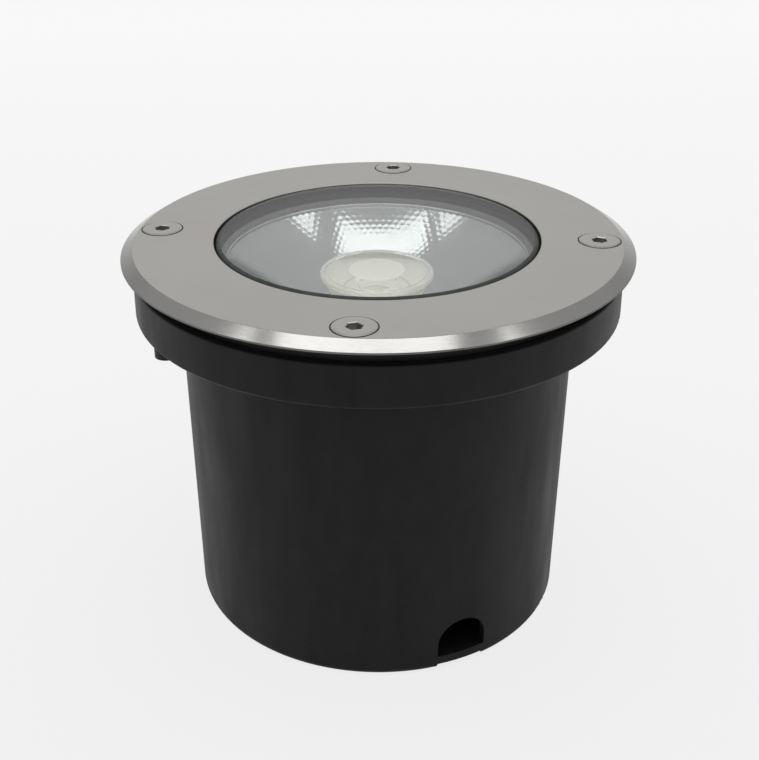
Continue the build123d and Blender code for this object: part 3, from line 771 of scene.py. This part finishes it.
def hexagon_cutter(low_radius, high_radius, low, high):
    """A six sided cutter between two heights, wider or narrower at its top."""
    shape = bmesh.new()
    bmesh.ops.create_cone(shape, cap_ends=True, segments=6, depth=high - low,
                          radius1=low_radius, radius2=high_radius,
                          matrix=Matrix.Translation((0, 0, (low + high) / 2)))
    mesh = bpy.data.meshes.new("hexagon_cutter")
    shape.to_mesh(mesh)
    shape.free()
    cutter = bpy.data.objects.new("hexagon_cutter", mesh)
    bpy.context.collection.objects.link(cutter)
    return cutter


def trim_screw(number):
    """One screw, turned with its thread in rings, and its socket cut and chamfered."""
    low, high = screw_boxes[number]
    head_top = ring_high.z
    head_edge = head_top - head_chamfer_drop
    cone_low = head_edge - head_radius + shank_radius
    thread = []
    crest = low.z + thread_pitch
    while crest < cone_low - 1.5 * thread_pitch:
        thread.append((shank_radius, crest, 0))
        thread.append((shank_radius - thread_depth, crest + thread_pitch / 2, 0))
        crest += thread_pitch
    outline = [(0, low.z)] + soft_outline(
        (shank_radius - thread_depth, low.z, 0),
        (shank_radius - thread_depth, low.z + thread_pitch / 2, 0),
        *thread,
        (shank_radius, crest, 0),
        (shank_radius, cone_low, 0),
        (head_radius, head_edge, 0.0001),
        (head_radius - head_chamfer, head_top, 0.0003),
        (0, head_top, 0),
        (0, low.z, 0),
    )[:-1]
    screw = turned(f"trim_screw_{number}_turned", outline, 64, closed=False)
    cut_away(screw, hexagon_cutter(hex_radius, hex_radius, head_top - socket_depth,
                                   head_top + cutter_reach))
    chamfer_depth = socket_chamfer * 0.6
    cut_away(screw, hexagon_cutter(hex_radius, hex_radius + 2 * socket_chamfer,
                                   head_top - chamfer_depth, head_top + chamfer_depth))
    screw.data.set_sharp_from_angle(angle=sharp_angle)
    turn = Matrix.Rotation(math.radians(socket_turns[number]), 4, "Z")
    centre = Matrix.Translation(((low.x + high.x) / 2, (low.y + high.y) / 2, 0))
    screw.data.transform(centre @ turn)
    return screw


for number in screw_boxes:
    fit(trim_screw(number), satin, f"screw_{number}", "stainless_steel",
        f"trim_screw_{number}")

# ---- Studio ---------------------------------------------------------------------------
# A pale table and backdrop, a white room round it and three soft boxes overhead. The
# camera stands a little above the lamp and looks down into its window.

camera_place = Vector((0, -0.3332, 0.2423))
look_down = math.radians(27.48)
turn = math.radians(-1.862)
roll = math.radians(0.820)
focal_pixels = 1196.8
frame_height_pixels = 760
frame_centre_pixel = 379.5
camera_axis_pixel = 342.2
sensor_width = 36.0

forward = Vector((math.sin(turn) * math.cos(look_down), math.cos(turn) * math.cos(look_down),
                  -math.sin(look_down)))
level_right = forward.cross(Vector((0, 0, 1))).normalized()
level_down = forward.cross(level_right)
right = math.cos(roll) * level_right + math.sin(roll) * level_down
down = math.cos(roll) * level_down - math.sin(roll) * level_right
camera_data = bpy.data.cameras.new("camera")
camera_data.sensor_width = sensor_width
camera_data.lens = focal_pixels * sensor_width / frame_height_pixels
camera_data.shift_x = (frame_centre_pixel - camera_axis_pixel) / frame_height_pixels
camera_data.clip_start = 0.01
camera = bpy.data.objects.new("camera", camera_data)
camera.matrix_world = Matrix.Translation(camera_place) @ Matrix(
    (right, -down, -forward)).transposed().to_4x4()
bpy.context.collection.objects.link(camera)
bpy.context.scene.camera = camera
bpy.context.scene.view_settings.view_transform = "Standard"

floor_radius = 6.0
floor_shape = bmesh.new()
bmesh.ops.create_circle(floor_shape, cap_ends=True, segments=64, radius=floor_radius)
floor_mesh = bpy.data.meshes.new("floor")
floor_shape.to_mesh(floor_mesh)
floor_shape.free()
floor = bpy.data.objects.new("floor", floor_mesh)
bpy.context.collection.objects.link(floor)
floor_finish, floor_tree, floor_shader = new_finish(
    "pale_table", Roughness=0.9, Specular_IOR_Level=0.2)
tint(floor_tree, floor_shader, grain(floor_tree, 3), (0, (0.86, 0.86, 0.86)),
     (1, (0.88, 0.88, 0.88)))


def joined(tree, operation, first, second):
    """Two values put together by a Math node's operation."""
    step = tree.nodes.new("ShaderNodeMath")
    step.operation = operation
    tree.links.new(first, step.inputs[0])
    tree.links.new(second, step.inputs[1])
    return step.outputs["Value"]


def ways_seen(tree):
    """1 for a ray from the camera, and 1 for one that shows the room in metal or glass."""
    ray = tree.nodes.new("ShaderNodeLightPath")
    lit = between(tree, ray.outputs["Diffuse Depth"], 0, 1, 1, 0)
    mirrored = joined(tree, "MAXIMUM", ray.outputs["Is Glossy Ray"],
                      ray.outputs["Is Transmission Ray"])
    return ray.outputs["Is Camera Ray"], joined(tree, "MULTIPLY", mirrored, lit)


def blend_shaders(tree, share, first, second):
    """The first shader, giving way to the second as the share goes to 1."""
    mix = tree.nodes.new("ShaderNodeMixShader")
    tree.links.new(share, mix.inputs["Fac"])
    tree.links.new(first, mix.inputs[1])
    tree.links.new(second, mix.inputs[2])
    return mix.outputs["Shader"]


floor_place = floor_tree.nodes.new("ShaderNodeTexCoord")
floor_axes = floor_tree.nodes.new("ShaderNodeSeparateXYZ")
floor_tree.links.new(floor_place.outputs["Object"], floor_axes.inputs["Vector"])
floor_glow = floor_tree.nodes.new("ShaderNodeEmission")
floor_glow.inputs["Color"].default_value = (1, 1, 1, 1)
floor_tree.links.new(between(floor_tree, floor_axes.outputs["Y"], -0.2, 0.9, 0.90, 0.985),
                     floor_glow.inputs["Strength"])
floor_seen, floor_mirrored = ways_seen(floor_tree)
floor_share = joined(floor_tree, "ADD", between(floor_tree, floor_seen, 0, 1, 0, 0.87),
                     between(floor_tree, floor_mirrored, 0, 1, 0, 0.35))
floor_tree.links.new(
    blend_shaders(floor_tree, floor_share, floor_shader.outputs["BSDF"],
                  floor_glow.outputs["Emission"]),
    floor_tree.nodes["Material Output"].inputs["Surface"])
floor_mesh.materials.append(floor_finish)

world = bpy.data.worlds.new("white_room")
world.use_nodes = True
bpy.context.scene.world = world
room = world.node_tree
room_light = room.nodes["Background"]
room_light.inputs["Color"].default_value = (1, 1, 1, 1)
room_light.inputs["Strength"].default_value = 0.72
room_way = room.nodes.new("ShaderNodeTexCoord")
room_axes = room.nodes.new("ShaderNodeSeparateXYZ")
room.links.new(room_way.outputs["Generated"], room_axes.inputs["Vector"])
backdrop = between(room, room_axes.outputs["Y"], 0.72, 0.88, 0.38, 0.66)
horizon = between(room, room_axes.outputs["Z"], 0.04, 0.22, 0.6, 0)
backdrop_rise = between(room, room_axes.outputs["Z"], 0.25, 0.50, 0.90, 1.14)
room_tone = joined(room, "MAXIMUM", joined(room, "MULTIPLY", backdrop, backdrop_rise), horizon)
room_seen, room_mirrored = ways_seen(room)
white_wall = between(room, room_seen, 0, 1, 0, 0.95)
room_shown = room.nodes.new("ShaderNodeBackground")
room_shown.inputs["Color"].default_value = (1, 1, 1, 1)
room.links.new(joined(room, "MAXIMUM", room_tone, white_wall), room_shown.inputs["Strength"])
room.links.new(
    blend_shaders(room, joined(room, "MAXIMUM", room_seen, room_mirrored),
                  room_light.outputs["Background"], room_shown.outputs["Background"]),
    room.nodes["World Output"].inputs["Surface"])


def soft_box(name, place, target, width, length, power):
    """A rectangular lamp, aimed at a target."""
    lamp = bpy.data.lights.new(name, "AREA")
    lamp.shape = "RECTANGLE"
    lamp.size = width
    lamp.size_y = length
    lamp.energy = power
    fixture = bpy.data.objects.new(name, lamp)
    fixture.location = place
    aim = Vector(target) - Vector(place)
    fixture.rotation_euler = aim.to_track_quat("-Z", "Y").to_euler()
    bpy.context.collection.objects.link(fixture)


box_height = 0.8
box_radiance = 1.6
glass_level = glass_high.z
for name, across, along, width, length, share in (
    ("soft_box_above", -0.04, 0.0175, 0.60, 0.235, 1.0),
    ("soft_box_left", -0.57, -0.05, 0.28, 0.36, 0.9),
    ("soft_box_right", 0.57, -0.05, 0.28, 0.36, 0.9),
):
    place = (across, along, glass_level + box_height)
    soft_box(name, place, (across, along, 0), width, length,
             share * box_radiance * math.pi * width * length)
